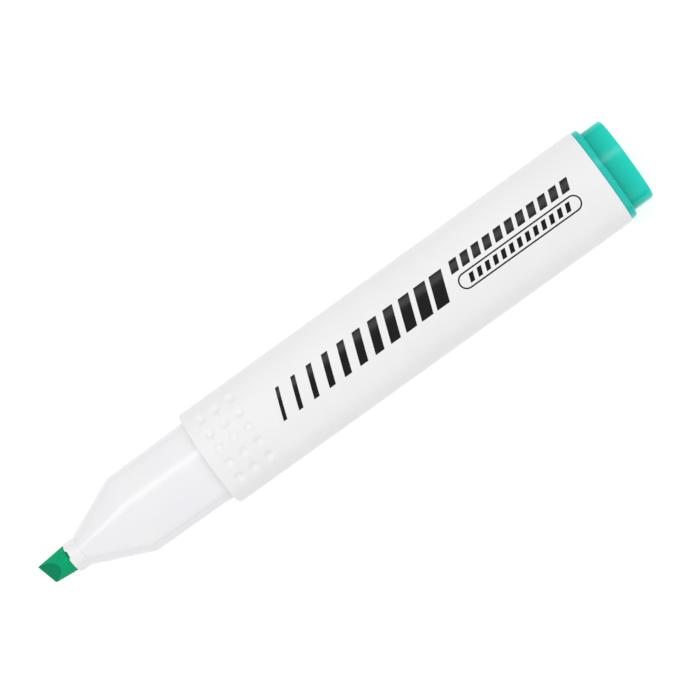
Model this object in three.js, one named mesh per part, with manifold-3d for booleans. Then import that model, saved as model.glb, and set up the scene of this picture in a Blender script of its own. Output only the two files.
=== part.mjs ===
// A flat, oval highlighter with its cap off, lying on its side.
//
// +X runs along the pen towards the nib, +Y across its width and +Z up through its thickness. X is
// centred on the pen's length, and the barrel's underside touches Z = 0. Everything is in millimetres.

import * as THREE from 'three';
import { ParametricGeometry } from 'three/addons/geometries/ParametricGeometry.js';
import { mergeVertices } from 'three/addons/utils/BufferGeometryUtils.js';
import Module from 'manifold-3d';

const wasm = await Module();
wasm.setup();

// ---------------------------------------------------------------- driving dimensions

// Every cross-section is an oval with crowned faces and rounded sides. The crown's arc turns
// through this angle on each side of the middle, on every section, so that insets stay parallel.
const CROWN_ANGLE = 25;

const BARREL_LENGTH = 80.8;
const BARREL_WIDTH = 18;
const BARREL_THICKNESS = 12.4;
const BARREL_CORNER_RADIUS = 4.4;
const BARREL_WALL = 1.2;
const BARREL_EDGE_RADIUS = 0.25;

// Grip dimples, a grid of shallow round dents on both faces, just behind the barrel's front edge.
const DIMPLE_COLUMNS = 3;
const DIMPLE_ROWS = 5;
const DIMPLE_DIAMETER = 1.95;
const DIMPLE_DEPTH = 0.28;
const DIMPLE_PITCH_ALONG = 3.05;
const DIMPLE_PITCH_ACROSS = 3;
const DIMPLE_FIRST_FROM_FRONT = 3.05;

// Ribs along the barrel's inside that centre the ink reservoir.
const RIB_THICKNESS = 1;
const RIB_FUSION = 0.3;

// The front section plugs into the barrel. Its neck runs straight, then tapers to a round collar.
// The last stretch before the barrel is a slightly raised seat, where the cap would grip.
const NECK_LENGTH = 16.4;
const NECK_DRAFT = 0.1;
const SEAT_LENGTH = 3.6;
const SEAT_HEIGHT = 0.1;
const SEAT_RAMP = 0.5;
const SLEEVE_LENGTH = 10;
const SLEEVE_LEAD = 0.2;
const FRONT_WALL = 1.1;
const TAPER_LENGTH = 10.2;
const TAPER_END_DIAMETER = 6.2;
const COLLAR_LENGTH = 2.6;
const COLLAR_DIAMETER = 5.64;
const COLLAR_WALL = 0.52;
const COLLAR_EDGE_RADIUS = 0.3;
const BORE_LENGTH = 9;
const CHAMBER_CONE_LENGTH = 5.2;

// A bead around the sleeve snaps into a groove inside the barrel.
const SNAP_FROM_FRONT = 6;
const SNAP_LENGTH = 1.2;
const SNAP_HEIGHT = 0.25;

// Vent notches in the collar's mouth, one on each face, and the air channels behind them.
const VENT_WIDTH = 1;
const VENT_FLARE = 0.4;
const VENT_DEPTH = 0.4;
const VENT_OFFSET = 0.6;
const CHANNEL_HEIGHT = 0.2;

// The nib is a felt rod: a chisel head, a little off the rod's axis, a stem that the collar holds
// and a thinner tail that draws ink from the reservoir.
const NIB_EXPOSED = 5.75;
const NIB_HEAD_DIAMETER = 4.9;
const NIB_HEAD_OFFSET = 0.2;
const NIB_SIDE_ANGLE = 5;
const NIB_SLANT_ANGLE = 16.6;
const NIB_BEVEL_ANGLE = 31.5;
const NIB_EDGE_THICKNESS = 1;
const NIB_SHOULDER_LENGTH = 1;
const NIB_TAIL_DIAMETER = 3.2;
const NIB_TAIL_DIP = 5;
const NIB_POINT_LENGTH = 1.5;
const NIB_POINT_DIAMETER = 1.4;

// The ink reservoir is a fibre core in a plastic film wrap, which fills the front section's height.
const WRAP_WALL = 0.2;
const CORE_RECESS = 0.8;
const RESERVOIR_FROM_TAPER = 2.5;

// The end plug closes the tail: a spigot inside the barrel, a flange over its end and a block.
const FLANGE_THICKNESS = 1.2;
const FLANGE_INSET = 0.25;
const FLANGE_EDGE_RADIUS = 0.45;
const BLOCK_LENGTH = 4;
const BLOCK_INSET = 1.22;
const BLOCK_EDGE_RADIUS = 0.45;
const SPIGOT_LENGTH = 7;
const SPIGOT_WALL = 1.2;
const SPIGOT_LEAD = 0.6;
const BLOCK_FLOOR = 1.4;
const CROSS_RIB_THICKNESS = 1.2;

// Clearances between pieces.
const SLEEVE_CLEARANCE = 0.1;
const STEM_CLEARANCE = 0.1;
const CORE_CLEARANCE = 0.1;
const CHAMBER_CLEARANCE = 0.2;
const RIB_CLEARANCE = 0.1;
const RIB_END_CLEARANCE = 1;
const FACE_CLEARANCE = 0.05;

// Facets: steps in a quarter outline (one up the flat side, then the corner, then the crown).
const CORNER_STEPS = 7;
const CROWN_STEPS = 6;
const EDGE_STEPS = 3;
const BALL_SEGMENTS = 18;
const BALL_RINGS = 12;
const BOTH_SIDES = [1, -1];

// ---------------------------------------------------------------- stations along the pen

const TOTAL_LENGTH = BLOCK_LENGTH + FLANGE_THICKNESS + BARREL_LENGTH + NECK_LENGTH + TAPER_LENGTH
  + COLLAR_LENGTH + NIB_EXPOSED;
const AXIS_Z = BARREL_THICKNESS / 2;
const BLOCK_END_X = -TOTAL_LENGTH / 2;
const FLANGE_BACK_X = BLOCK_END_X + BLOCK_LENGTH;
const BARREL_TAIL_X = FLANGE_BACK_X + FLANGE_THICKNESS;
const BARREL_FRONT_X = BARREL_TAIL_X + BARREL_LENGTH;
const TAPER_START_X = BARREL_FRONT_X + NECK_LENGTH;
const COLLAR_BASE_X = TAPER_START_X + TAPER_LENGTH;
const MOUTH_X = COLLAR_BASE_X + COLLAR_LENGTH;
const NIB_TIP_X = MOUTH_X + NIB_EXPOSED;
const SLEEVE_END_X = BARREL_FRONT_X - SLEEVE_LENGTH;
const SPIGOT_END_X = BARREL_TAIL_X + SPIGOT_LENGTH;
const BORE_END_X = MOUTH_X - BORE_LENGTH;
const WRAP_FRONT_X = TAPER_START_X - RESERVOIR_FROM_TAPER;
const WRAP_REAR_X = SPIGOT_END_X + FACE_CLEARANCE;
const CORE_FRONT_X = WRAP_FRONT_X - CORE_RECESS;
const CORE_REAR_X = WRAP_REAR_X + CORE_RECESS;
const NIB_REAR_X = CORE_FRONT_X - NIB_TAIL_DIP;

// ---------------------------------------------------------------- cross-sections

const QUARTER_STEPS = 1 + CORNER_STEPS + CROWN_STEPS;
const OUTLINE_STEPS = 4 * QUARTER_STEPS;

function oval(width, thickness, cornerRadius) {
  return { halfWidth: width / 2, halfHeight: thickness / 2, cornerRadius, shift: 0 };
}

function circle(radius, shift = 0) {
  return { halfWidth: radius, halfHeight: radius, cornerRadius: radius, shift };
}

function inset(section, distance) {
  return {
    halfWidth: section.halfWidth - distance,
    halfHeight: section.halfHeight - distance,
    cornerRadius: section.cornerRadius - distance,
    shift: section.shift,
  };
}

// A point on the first quarter of an outline, from the side (0) to the top of the crown (1).
function quarterPoint(section, fraction) {
  const crownAngle = THREE.MathUtils.degToRad(CROWN_ANGLE);
  const radius = section.cornerRadius;
  const cornerY = section.halfWidth - radius;
  const crownRadius = radius + cornerY / Math.sin(crownAngle);
  const cornerZ = section.halfHeight - radius - (crownRadius - radius) * (1 - Math.cos(crownAngle));
  const steps = fraction * QUARTER_STEPS;
  if (steps <= 1) {
    return new THREE.Vector2(section.halfWidth, cornerZ * steps);
  }
  if (steps <= 1 + CORNER_STEPS) {
    const angle = (steps - 1) / CORNER_STEPS * (Math.PI / 2 - crownAngle);
    return new THREE.Vector2(cornerY + radius * Math.cos(angle), cornerZ + radius * Math.sin(angle));
  }
  const fromTop = (QUARTER_STEPS - steps) / CROWN_STEPS * crownAngle;
  return new THREE.Vector2(
    crownRadius * Math.sin(fromTop),
    section.halfHeight - crownRadius * (1 - Math.cos(fromTop)),
  );
}

// A point on the whole outline, one turn from +Y through +Z, as (y, z) about the pen's axis.
function outlinePoint(section, turn) {
  const quarters = turn * 4;
  const quarter = Math.min(Math.floor(quarters), 3);
  const along = quarters - quarter;
  const mirrored = quarter === 1 || quarter === 3;
  const point = quarterPoint(section, mirrored ? 1 - along : along);
  const signY = quarter === 0 || quarter === 3 ? 1 : -1;
  const signZ = quarter < 2 ? 1 : -1;
  return new THREE.Vector2(signY * point.x + section.shift, signZ * point.y);
}

// The height and the outward slope of the upper face, at a distance across from its middle.
function faceAt(section, y) {
  const crownAngle = THREE.MathUtils.degToRad(CROWN_ANGLE);
  const cornerY = section.halfWidth - section.cornerRadius;
  const crownRadius = section.cornerRadius + cornerY / Math.sin(crownAngle);
  const crownCentreZ = section.halfHeight - crownRadius;
  const across = Math.abs(y);
  if (across <= crownRadius * Math.sin(crownAngle)) {
    const angle = Math.asin(across / crownRadius);
    return { height: crownCentreZ + crownRadius * Math.cos(angle), slope: Math.sign(y) * angle };
  }
  const angle = Math.asin(Math.min((across - cornerY) / section.cornerRadius, 1));
  const cornerZ = crownCentreZ + (crownRadius - section.cornerRadius) * Math.cos(crownAngle);
  return { height: cornerZ + section.cornerRadius * Math.cos(angle), slope: Math.sign(y) * angle };
}

const barrelSection = oval(BARREL_WIDTH, BARREL_THICKNESS, BARREL_CORNER_RADIUS);
const barrelBore = inset(barrelSection, BARREL_WALL);
const sleeveSection = inset(barrelBore, SLEEVE_CLEARANCE);
const chamberSection = inset(sleeveSection, FRONT_WALL);
const boreRadius = COLLAR_DIAMETER / 2 - COLLAR_WALL;
const wrapRadius = chamberSection.halfHeight - CHAMBER_CLEARANCE;
const coreRadius = wrapRadius - WRAP_WALL - CORE_CLEARANCE;

// ---------------------------------------------------------------- solids

// Gives a geometry's merged mesh to manifold-3d, without the slivers that close on a pole.
function toManifold(geometry) {
  const bare = geometry.clone();
  bare.deleteAttribute('normal');
  bare.deleteAttribute('uv');
  const merged = mergeVertices(bare, 1e-5);
  const index = merged.getIndex().array;
  const triangles = [];
  for (let i = 0; i < index.length; i += 3) {
    const [a, b, c] = [index[i], index[i + 1], index[i + 2]];
    if (a !== b && b !== c && c !== a) {
      triangles.push(a, b, c);
    }
  }
  return new wasm.Manifold(new wasm.Mesh({
    numProp: 3,
    vertProperties: Float32Array.from(merged.getAttribute('position').array),
    triVerts: Uint32Array.from(triangles),
  }));
}

function toGeometry(solid) {
  const mesh = solid.getMesh();
  const geometry = new THREE.BufferGeometry();
  geometry.setAttribute('position', new THREE.BufferAttribute(mesh.vertProperties, 3));
  geometry.setIndex(new THREE.BufferAttribute(mesh.triVerts, 1));
  geometry.computeVertexNormals();
  return geometry;
}

// Lofts a skin through stations of [x, section]. A solid starts and ends on poles, and runs
// towards +X. A tube's list goes out along its outside towards +X and comes back along its inside.
function loft(stations) {
  const last = stations.length - 1;
  const surface = (turn, along, target) => {
    const place = along * last;
    const index = Math.min(Math.floor(place), last - 1);
    const blend = place - index;
    const [startX, startSection] = stations[index];
    const [endX, endSection] = stations[index + 1];
    const start = outlinePoint(startSection, turn);
    const point = start.lerp(outlinePoint(endSection, turn), blend);
    target.set(THREE.MathUtils.lerp(startX, endX, blend), point.x, AXIS_Z + point.y);
  };
  return toManifold(new ParametricGeometry(surface, OUTLINE_STEPS, last));
}

function loftSolid(stations) {
  const first = stations[0];
  const last = stations[stations.length - 1];
  return loft([[first[0], circle(0, first[1].shift)], ...stations, [last[0], circle(0, last[1].shift)]]);
}

function loftTube(outside, inside) {
  return loft([...outside, ...inside, outside[0]]);
}

// Stations that round an outer edge. 'direction' is +1 at an end that faces +X, -1 at the other.
function roundedEdge(x, section, radius, direction) {
  const stations = [];
  for (let i = 0; i <= EDGE_STEPS; i += 1) {
    const angle = i / EDGE_STEPS * Math.PI / 2;
    const back = radius * (1 - Math.sin(angle));
    stations.push([x - direction * back, inset(section, radius * (1 - Math.cos(angle)))]);
  }
  return direction > 0 ? stations : stations.reverse();
}

// A box between two corners, given in the pen's own axes with Z from the axis.
function block(low, high) {
  const size = new THREE.Vector3().subVectors(high, low);
  const geometry = new THREE.BoxGeometry(size.x, size.y, size.z);
  const middle = new THREE.Vector3().addVectors(low, high).multiplyScalar(0.5);
  geometry.translate(middle.x, middle.y, middle.z + AXIS_Z);
  return toManifold(geometry);
}

// A box that stands out from the axis to one side of it: 'side' is +1 or -1, 'along' its axis.
function spoke(startX, endX, inner, outer, width, side, along) {
  const near = Math.min(side * inner, side * outer);
  const far = Math.max(side * inner, side * outer);
  const half = width / 2;
  if (along === 'z') {
    return block(new THREE.Vector3(startX, -half, near), new THREE.Vector3(endX, half, far));
  }
  return block(new THREE.Vector3(startX, near, -half), new THREE.Vector3(endX, far, half));
}

// ---------------------------------------------------------------- barrel

// One dimple is a shallow cap of a ball, sunk along the face's own normal.
function dimple(x, y, side) {
  const rim = DIMPLE_DIAMETER / 2;
  const ballRadius = (rim ** 2 + DIMPLE_DEPTH ** 2) / (2 * DIMPLE_DEPTH);
  const lift = ballRadius - DIMPLE_DEPTH;
  const { height, slope } = faceAt(barrelSection, y);
  const ball = new THREE.SphereGeometry(ballRadius, BALL_SEGMENTS, BALL_RINGS);
  ball.translate(x, y + lift * Math.sin(slope), AXIS_Z + side * (height + lift * Math.cos(slope)));
  return toManifold(ball);
}

function cutDimples(barrel) {
  let result = barrel;
  for (let column = 0; column < DIMPLE_COLUMNS; column += 1) {
    const x = BARREL_FRONT_X - DIMPLE_FIRST_FROM_FRONT - column * DIMPLE_PITCH_ALONG;
    for (let row = 0; row < DIMPLE_ROWS; row += 1) {
      const y = (row - (DIMPLE_ROWS - 1) / 2) * DIMPLE_PITCH_ACROSS;
      for (const side of BOTH_SIDES) {
        result = result.subtract(dimple(x, y, side));
      }
    }
  }
  return result;
}

function addReservoirRibs(barrel) {
  const startX = SPIGOT_END_X + RIB_END_CLEARANCE;
  const endX = SLEEVE_END_X - RIB_END_CLEARANCE;
  const inner = wrapRadius + RIB_CLEARANCE;
  const roof = barrelBore.halfHeight + RIB_FUSION;
  const wall = barrelBore.halfWidth + RIB_FUSION;
  let result = barrel;
  for (const side of BOTH_SIDES) {
    result = result.add(spoke(startX, endX, inner, roof, RIB_THICKNESS, side, 'z'));
    result = result.add(spoke(startX, endX, inner, wall, RIB_THICKNESS, side, 'y'));
  }
  return result;
}

function snapStations(x, section, height) {
  const half = SNAP_LENGTH / 2;
  return [
    [x - half, section],
    [x - half / 2, inset(section, -height)],
    [x + half / 2, inset(section, -height)],
    [x + half, section],
  ];
}

function makeBarrel() {
  const outside = [
    ...roundedEdge(BARREL_TAIL_X, barrelSection, BARREL_EDGE_RADIUS, -1),
    ...roundedEdge(BARREL_FRONT_X, barrelSection, BARREL_EDGE_RADIUS, 1),
  ];
  const inside = [
    [BARREL_FRONT_X, barrelBore],
    ...snapStations(BARREL_FRONT_X - SNAP_FROM_FRONT, barrelBore, SNAP_HEIGHT).reverse(),
    [BARREL_TAIL_X, barrelBore],
  ];
  return cutDimples(addReservoirRibs(loftTube(outside, inside)));
}

// ---------------------------------------------------------------- front section

// The vents on the two faces are half a turn apart, so each is off the middle the other way.
function ventNotch(side) {
  const half = VENT_WIDTH / 2;
  const flare = half + 2 * VENT_FLARE;
  const outline = new THREE.Shape();
  outline.moveTo(MOUTH_X - VENT_DEPTH, -half);
  outline.lineTo(MOUTH_X + VENT_DEPTH, -flare);
  outline.lineTo(MOUTH_X + VENT_DEPTH, flare);
  outline.lineTo(MOUTH_X - VENT_DEPTH, half);
  const inner = boreRadius / 2;
  const geometry = new THREE.ExtrudeGeometry(outline, { depth: COLLAR_DIAMETER, bevelEnabled: false });
  const startZ = side > 0 ? inner : -inner - COLLAR_DIAMETER;
  geometry.translate(0, -side * VENT_OFFSET, AXIS_Z + startZ);
  return toManifold(geometry);
}

function airChannel(side) {
  const inner = boreRadius / 2;
  const outer = boreRadius + CHANNEL_HEIGHT;
  const channel = spoke(BORE_END_X - VENT_WIDTH, MOUTH_X + VENT_WIDTH, inner, outer, VENT_WIDTH, side, 'z');
  return channel.translate([0, -side * VENT_OFFSET, 0]);
}

function cutVents(front) {
  let result = front;
  for (const side of BOTH_SIDES) {
    result = result.subtract(ventNotch(side)).subtract(airChannel(side));
  }
  return result;
}

function makeFrontSection() {
  const neckRear = inset(sleeveSection, SEAT_HEIGHT);
  const neckFront = inset(neckRear, NECK_DRAFT);
  const collar = circle(COLLAR_DIAMETER / 2);
  const bore = circle(boreRadius);
  const seatEndX = BARREL_FRONT_X + SEAT_LENGTH;
  const outside = [
    [SLEEVE_END_X, inset(sleeveSection, SLEEVE_LEAD)],
    ...snapStations(BARREL_FRONT_X - SNAP_FROM_FRONT, sleeveSection, SNAP_HEIGHT),
    [seatEndX, sleeveSection],
    [seatEndX + SEAT_RAMP, neckRear],
    [TAPER_START_X, neckFront],
    [COLLAR_BASE_X, circle(TAPER_END_DIAMETER / 2)],
    [COLLAR_BASE_X, collar],
    ...roundedEdge(MOUTH_X, collar, COLLAR_EDGE_RADIUS, 1),
  ];
  const inside = [
    [MOUTH_X, bore],
    [BORE_END_X, bore],
    [BORE_END_X - CHAMBER_CONE_LENGTH, chamberSection],
    [SLEEVE_END_X, chamberSection],
  ];
  return cutVents(loftTube(outside, inside));
}

// ---------------------------------------------------------------- nib

const headRadius = NIB_HEAD_DIAMETER / 2;
const tipRadius = headRadius - NIB_EXPOSED * Math.tan(THREE.MathUtils.degToRad(NIB_SIDE_ANGLE));

// A big slab whose near face is a plane through the nib's furthest corner, on the -Y side.
function slabAtCorner(place, z) {
  const size = 4 * NIB_HEAD_DIAMETER;
  const slab = new THREE.BoxGeometry(size, size, size);
  place(slab, size / 2);
  slab.rotateZ(THREE.MathUtils.degToRad(NIB_SLANT_ANGLE));
  slab.translate(NIB_TIP_X, -NIB_HEAD_OFFSET - tipRadius, AXIS_Z + z);
  return toManifold(slab);
}

function slantCutter() {
  return slabAtCorner((slab, half) => slab.translate(half, 0, 0), 0);
}

function bevelCutter(side) {
  const tilt = THREE.MathUtils.degToRad(NIB_BEVEL_ANGLE);
  const place = (slab, half) => slab.translate(0, 0, side * half).rotateY(side * tilt);
  return slabAtCorner(place, side * NIB_EDGE_THICKNESS / 2);
}

function makeNib() {
  const point = circle(NIB_POINT_DIAMETER / 2);
  const tail = circle(NIB_TAIL_DIAMETER / 2);
  const stem = circle(boreRadius - STEM_CLEARANCE);
  const headX = MOUTH_X + FACE_CLEARANCE;
  let nib = loftSolid([
    [NIB_REAR_X, point],
    [NIB_REAR_X + NIB_POINT_LENGTH, tail],
    [BORE_END_X, tail],
    [BORE_END_X + NIB_SHOULDER_LENGTH, stem],
    [headX, stem],
    [headX, circle(headRadius, -NIB_HEAD_OFFSET)],
    [NIB_TIP_X, circle(tipRadius, -NIB_HEAD_OFFSET)],
  ]);
  nib = nib.subtract(slantCutter());
  for (const side of BOTH_SIDES) {
    nib = nib.subtract(bevelCutter(side));
  }
  return nib;
}

// ---------------------------------------------------------------- ink reservoir

function makeCore() {
  const core = circle(coreRadius);
  const pocket = circle(NIB_TAIL_DIAMETER / 2 + STEM_CLEARANCE);
  const pocketFloor = circle(NIB_POINT_DIAMETER / 2 + STEM_CLEARANCE);
  const floorX = NIB_REAR_X - FACE_CLEARANCE;
  return loft([
    [CORE_REAR_X, circle(0)],
    [CORE_REAR_X, core],
    [CORE_FRONT_X, core],
    [CORE_FRONT_X, pocket],
    [NIB_REAR_X + NIB_POINT_LENGTH, pocket],
    [floorX, pocketFloor],
    [floorX, circle(0)],
  ]);
}

function makeWrap() {
  const outer = circle(wrapRadius);
  const inner = circle(wrapRadius - WRAP_WALL);
  return loftTube(
    [[WRAP_REAR_X, outer], [WRAP_FRONT_X, outer]],
    [[WRAP_FRONT_X, inner], [WRAP_REAR_X, inner]],
  );
}

// ---------------------------------------------------------------- end plug

function addCrossRibs(plug, hollow, floorX) {
  const startX = floorX - RIB_FUSION;
  const roof = hollow.halfHeight + RIB_FUSION;
  const wall = hollow.halfWidth + RIB_FUSION;
  let result = plug;
  for (const side of BOTH_SIDES) {
    result = result.add(spoke(startX, SPIGOT_END_X, 0, roof, CROSS_RIB_THICKNESS, side, 'z'));
    result = result.add(spoke(startX, SPIGOT_END_X, 0, wall, CROSS_RIB_THICKNESS, side, 'y'));
  }
  return result;
}

function makeEndPlug() {
  const flange = inset(barrelSection, FLANGE_INSET);
  const tailBlock = inset(barrelSection, BLOCK_INSET);
  const hollow = inset(sleeveSection, SPIGOT_WALL);
  const flangeFrontX = BARREL_TAIL_X - FACE_CLEARANCE;
  const floorX = BLOCK_END_X + BLOCK_FLOOR;
  const plug = loft([
    [BLOCK_END_X, circle(0)],
    ...roundedEdge(BLOCK_END_X, tailBlock, BLOCK_EDGE_RADIUS, -1),
    [FLANGE_BACK_X, tailBlock],
    ...roundedEdge(FLANGE_BACK_X, flange, FLANGE_EDGE_RADIUS, -1),
    [flangeFrontX, flange],
    [flangeFrontX, sleeveSection],
    [SPIGOT_END_X - SPIGOT_LEAD, sleeveSection],
    [SPIGOT_END_X, inset(sleeveSection, SPIGOT_WALL / 3)],
    [SPIGOT_END_X, hollow],
    [floorX, hollow],
    [floorX, circle(0)],
  ]);
  return addCrossRibs(plug, hollow, floorX);
}

// ---------------------------------------------------------------- the assembly

function piece(name, solid, color, roughness) {
  const material = new THREE.MeshStandardMaterial({ color, roughness, metalness: 0 });
  const mesh = new THREE.Mesh(toGeometry(solid), material);
  mesh.name = name;
  return mesh;
}

const highlighter = new THREE.Group();
highlighter.add(
  piece('barrel', makeBarrel(), '#f0f0f1', 0.45),
  piece('front_section', makeFrontSection(), '#f1f1f3', 0.2),
  piece('nib', makeNib(), '#129a68', 0.85),
  piece('reservoir_core', makeCore(), '#2fd3a0', 0.95),
  piece('reservoir_wrap', makeWrap(), '#e8f4f0', 0.3),
  piece('end_plug', makeEndPlug(), '#1fc0ac', 0.28),
);

export default highlighter;
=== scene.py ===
"""A flat oval highlighter with its cap off, built piece by piece on a fixed frame.

+X runs along the pen towards the nib, +Y across it and +Z up, all in metres. Every piece takes its
place from the frame's own nodes, and the sizes below are those that the frame doesn't give.
"""

import math
from functools import partial
from typing import NamedTuple

import bmesh
import bpy
from mathutils import Matrix, Vector


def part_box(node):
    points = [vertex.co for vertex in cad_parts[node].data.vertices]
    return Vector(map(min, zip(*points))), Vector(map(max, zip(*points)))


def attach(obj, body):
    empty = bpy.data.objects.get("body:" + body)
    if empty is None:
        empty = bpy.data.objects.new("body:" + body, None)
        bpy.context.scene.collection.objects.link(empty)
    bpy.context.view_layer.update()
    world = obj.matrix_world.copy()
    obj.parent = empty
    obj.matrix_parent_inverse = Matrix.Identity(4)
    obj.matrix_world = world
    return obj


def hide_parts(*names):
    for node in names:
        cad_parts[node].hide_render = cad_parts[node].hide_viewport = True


bl_info = {
    "name": "Flat highlighter",
    "version": (1, 0, 0),
    "blender": (4, 5, 0),
    "location": "3D View > Sidebar > Highlighter",
    "description": "Builds the pieces of a flat oval highlighter and the stage it lies on",
    "category": "Add Mesh",
}

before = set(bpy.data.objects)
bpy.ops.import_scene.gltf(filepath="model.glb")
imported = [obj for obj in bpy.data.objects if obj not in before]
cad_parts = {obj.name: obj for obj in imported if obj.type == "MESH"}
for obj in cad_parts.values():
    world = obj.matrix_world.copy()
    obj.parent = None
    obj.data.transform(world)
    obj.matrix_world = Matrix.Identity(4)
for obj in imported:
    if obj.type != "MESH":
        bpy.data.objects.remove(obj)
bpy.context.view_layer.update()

MM = 0.001
CROWN_ANGLE = math.radians(25)
# The radius of the flat middle of an end that closes at a pole.
POLE_RADIUS = 0.5 * MM
# Fillets of moulded edges that no other size sets, from nearly sharp to soft.
CRISP, SMALL, SOFT = 0.08 * MM, 0.15 * MM, 0.3 * MM


# ---------------------------------------------------------------- the frame's own sizes


class Span(NamedTuple):
    """A node's box, with its width and its thickness."""

    low: Vector
    high: Vector

    @property
    def width(self):
        return self.high.y - self.low.y

    @property
    def thickness(self):
        return self.high.z - self.low.z


def span(node):
    return Span(*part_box(node))


BARREL = span("barrel")
FRONT = span("front_section")
NIB = span("nib")
CORE = span("reservoir_core")
WRAP = span("reservoir_wrap")
PLUG = span("end_plug")
AXIS_Z = (BARREL.low.z + BARREL.high.z) / 2


# ---------------------------------------------------------------- cross-sections and lofts


class Section(NamedTuple):
    """An oval with crowned faces and rounded sides, about the pen's axis."""

    half_width: float
    half_height: float
    corner: float
    shift: float = 0.0

    def inset(self, distance):
        return Section(
            self.half_width - distance,
            self.half_height - distance,
            self.corner - distance,
            self.shift,
        )

    def mix(self, other, amount):
        return Section(*(a + (b - a) * amount for a, b in zip(self, other)))

    @property
    def crown_radius(self):
        return self.corner + (self.half_width - self.corner) / math.sin(CROWN_ANGLE)

    def crown_height(self, y):
        """Height of the upper face above the axis, at y on its crown."""
        radius = self.crown_radius
        return self.half_height - radius + math.sqrt(radius**2 - y**2)


def circle(radius, shift=0.0):
    return Section(radius, radius, radius, shift)


class Facets(NamedTuple):
    """Steps in a quarter of an outline: one up the flat side, then the corner, then the crown."""

    corner: int
    crown: int

    @property
    def quarter(self):
        return 1 + self.corner + self.crown


FINE = Facets(corner=24, crown=40)
PLAIN = Facets(corner=16, crown=14)


def quarter_point(section, step, facets):
    """A point (y, z) on the first quarter of an outline, from the side to the top of the crown."""
    radius = section.corner
    corner_y = section.half_width - radius
    crown = section.crown_radius
    corner_z = section.half_height - radius - (crown - radius) * (1 - math.cos(CROWN_ANGLE))
    if step <= 1:
        return section.half_width, corner_z * step
    if step <= 1 + facets.corner:
        turned = (step - 1) / facets.corner * (math.pi / 2 - CROWN_ANGLE)
        return corner_y + radius * math.cos(turned), corner_z + radius * math.sin(turned)
    from_top = (facets.quarter - step) / facets.crown * CROWN_ANGLE
    return crown * math.sin(from_top), section.half_height - crown * (1 - math.cos(from_top))


def outline(section, facets):
    """The whole outline as (y, z) points, one turn from +Y through +Z."""
    points = []
    for quarter in range(4):
        for step in range(facets.quarter):
            mirrored = quarter % 2 == 1
            y, z = quarter_point(section, facets.quarter - step if mirrored else step, facets)
            sign_y = 1 if quarter in (0, 3) else -1
            sign_z = 1 if quarter < 2 else -1
            points.append((sign_y * y + section.shift, sign_z * z))
    return points


class Corner(NamedTuple):
    """A corner of a loft's long profile: its place along X, its section and its fillet."""

    x: float
    section: Section
    fillet: float = 0.0


def distance_between(a, b):
    """How far apart two corners lie on the profile, by X and by half width."""
    return math.hypot(b.x - a.x, b.section.half_width - a.section.half_width)


def mix_corners(a, b, amount):
    return Corner(a.x + (b.x - a.x) * amount, a.section.mix(b.section, amount))


def filleted(corners, closed, steps=6):
    """Rounds each corner of a profile with a short curve that starts and ends on its two sides."""
    result = []
    count = len(corners)
    for i, here in enumerate(corners):
        inner = closed or 0 < i < count - 1
        if not inner or here.fillet == 0:
            result.append(here)
            continue
        before = corners[i - 1]
        after = corners[(i + 1) % count]
        start = mix_corners(here, before, min(here.fillet / distance_between(here, before), 0.5))
        end = mix_corners(here, after, min(here.fillet / distance_between(here, after), 0.5))
        for k in range(steps + 1):
            t = k / steps
            result.append(mix_corners(mix_corners(start, here, t), mix_corners(here, end, t), t))
    return result


def densely(corners, low_x, high_x, pitch):
    """Adds rings every pitch between two places along X, where a straight run crosses them."""
    result = []
    for here, after in zip(corners, corners[1:]):
        result.append(here)
        if abs(after.x - here.x) < 4 * pitch:
            continue
        near, far = sorted((here.x, after.x))
        near, far = max(near, low_x), min(far, high_x)
        if far - near < pitch:
            continue
        count = max(1, round((far - near) / pitch))
        places = [near + (far - near) * k / count for k in range(count + 1)]
        if after.x < here.x:
            places.reverse()
        for x in places:
            amount = (x - here.x) / (after.x - here.x)
            if 1e-6 < amount < 1 - 1e-6:
                result.append(mix_corners(here, after, amount))
    result.append(corners[-1])
    return result


def loft(name, corners, facets, closed):
    """A skin through the corners' outlines: a closed tube, or a solid with a pole at each end."""
    verts, faces = [], []
    count = 4 * facets.quarter
    for place in corners:
        verts += [(place.x, y, AXIS_Z + z) for y, z in outline(place.section, facets)]
    rings = len(corners)
    for ring in range(rings if closed else rings - 1):
        here = ring * count
        after = (ring + 1) % rings * count
        for k in range(count):
            across = (k + 1) % count
            faces.append((here + k, here + across, after + across, after + k))
    if not closed:
        for ring, turned in ((0, True), (rings - 1, False)):
            pole = len(verts)
            verts.append((corners[ring].x, corners[ring].section.shift, AXIS_Z))
            for k in range(count):
                a, b = ring * count + k, ring * count + (k + 1) % count
                faces.append((b, a, pole) if turned else (a, b, pole))
    return mesh_object(name, verts, faces)


def mesh_object(name, verts, faces):
    mesh = bpy.data.meshes.new(name)
    mesh.from_pydata([Vector(v) for v in verts], [], faces)
    obj = bpy.data.objects.new(name, mesh)
    bpy.context.scene.collection.objects.link(obj)
    outward(obj)
    return obj


def outward(obj):
    """Merges doubles, drops slivers and points every face out of the solid."""
    work = bmesh.new()
    work.from_mesh(obj.data)
    bmesh.ops.remove_doubles(work, verts=work.verts, dist=1e-7)
    bmesh.ops.recalc_face_normals(work, faces=work.faces)
    if work.calc_volume(signed=True) < 0:
        bmesh.ops.reverse_faces(work, faces=work.faces)
    work.to_mesh(obj.data)
    work.free()


def settle(obj):
    """Turns the modifiers' result into the object's own plain mesh."""
    depsgraph = bpy.context.evaluated_depsgraph_get()
    mesh = bpy.data.meshes.new_from_object(obj.evaluated_get(depsgraph), depsgraph=depsgraph)
    obj.modifiers.clear()
    obj.data = mesh


def smooth(obj, sharp_degrees=32):
    """Shades a piece smoothly, apart from edges that turn more sharply than this."""
    obj.data.shade_smooth()
    obj.data.set_sharp_from_angle(angle=math.radians(sharp_degrees))


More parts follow.
